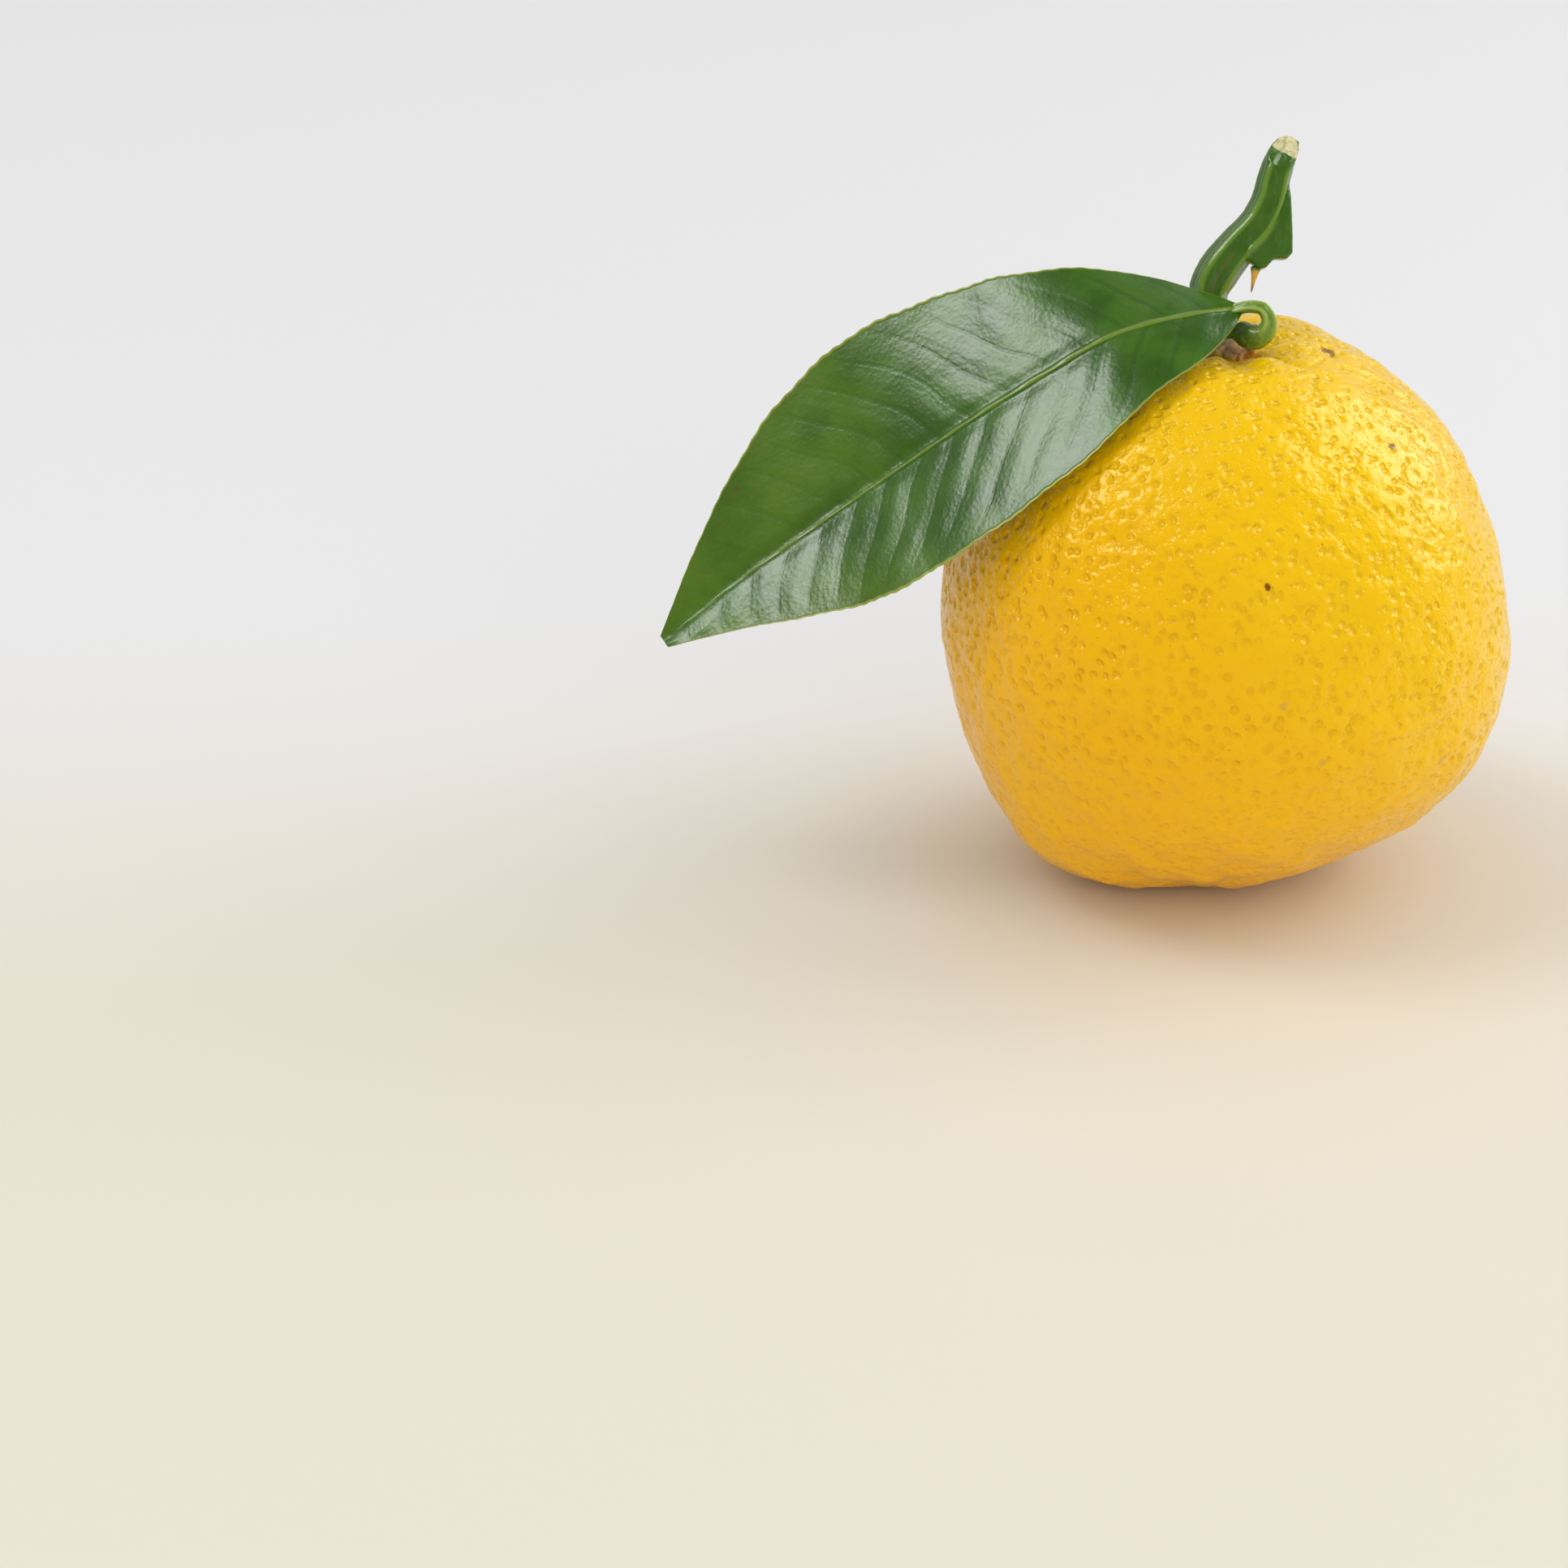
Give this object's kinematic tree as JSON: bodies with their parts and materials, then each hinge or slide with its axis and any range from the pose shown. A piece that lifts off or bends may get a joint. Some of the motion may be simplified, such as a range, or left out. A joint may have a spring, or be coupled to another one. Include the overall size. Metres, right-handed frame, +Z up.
{
  "type": "yuzu",
  "caption": "Whole ripe yuzu citrus fruit with bumpy yellow rind, calyx, cut twig with a thorn, and a leaf on its curled stalk, resting on a small flat spot.",
  "frame": {"origin": "middle of the flat spot under the fruit, on the surface it rests on", "axes": "+Z up through the stem end, +X to the right and +Y to the back as seen with the leaf reaching out to the left"},
  "size_m": [0.1033, 0.0686, 0.0886],
  "materials": {
    "rind": "waxy yellow citrus peel with oil glands, half gloss",
    "dry_calyx": "dry brown, matt",
    "twig_bark": "fresh green bark, satin",
    "thorn_tip": "orange brown, satin",
    "leaf_stalk": "fresh green, satin",
    "leaf_green": "waxy dark green, glossy"
  },
  "bodies": {
    "root": {"fruit": "rind", "calyx": "dry_calyx", "twig": "twig_bark", "thorn": "thorn_tip", "leaf_stalk": "leaf_stalk", "leaf": "leaf_green"}
  },
  "joints": []
}
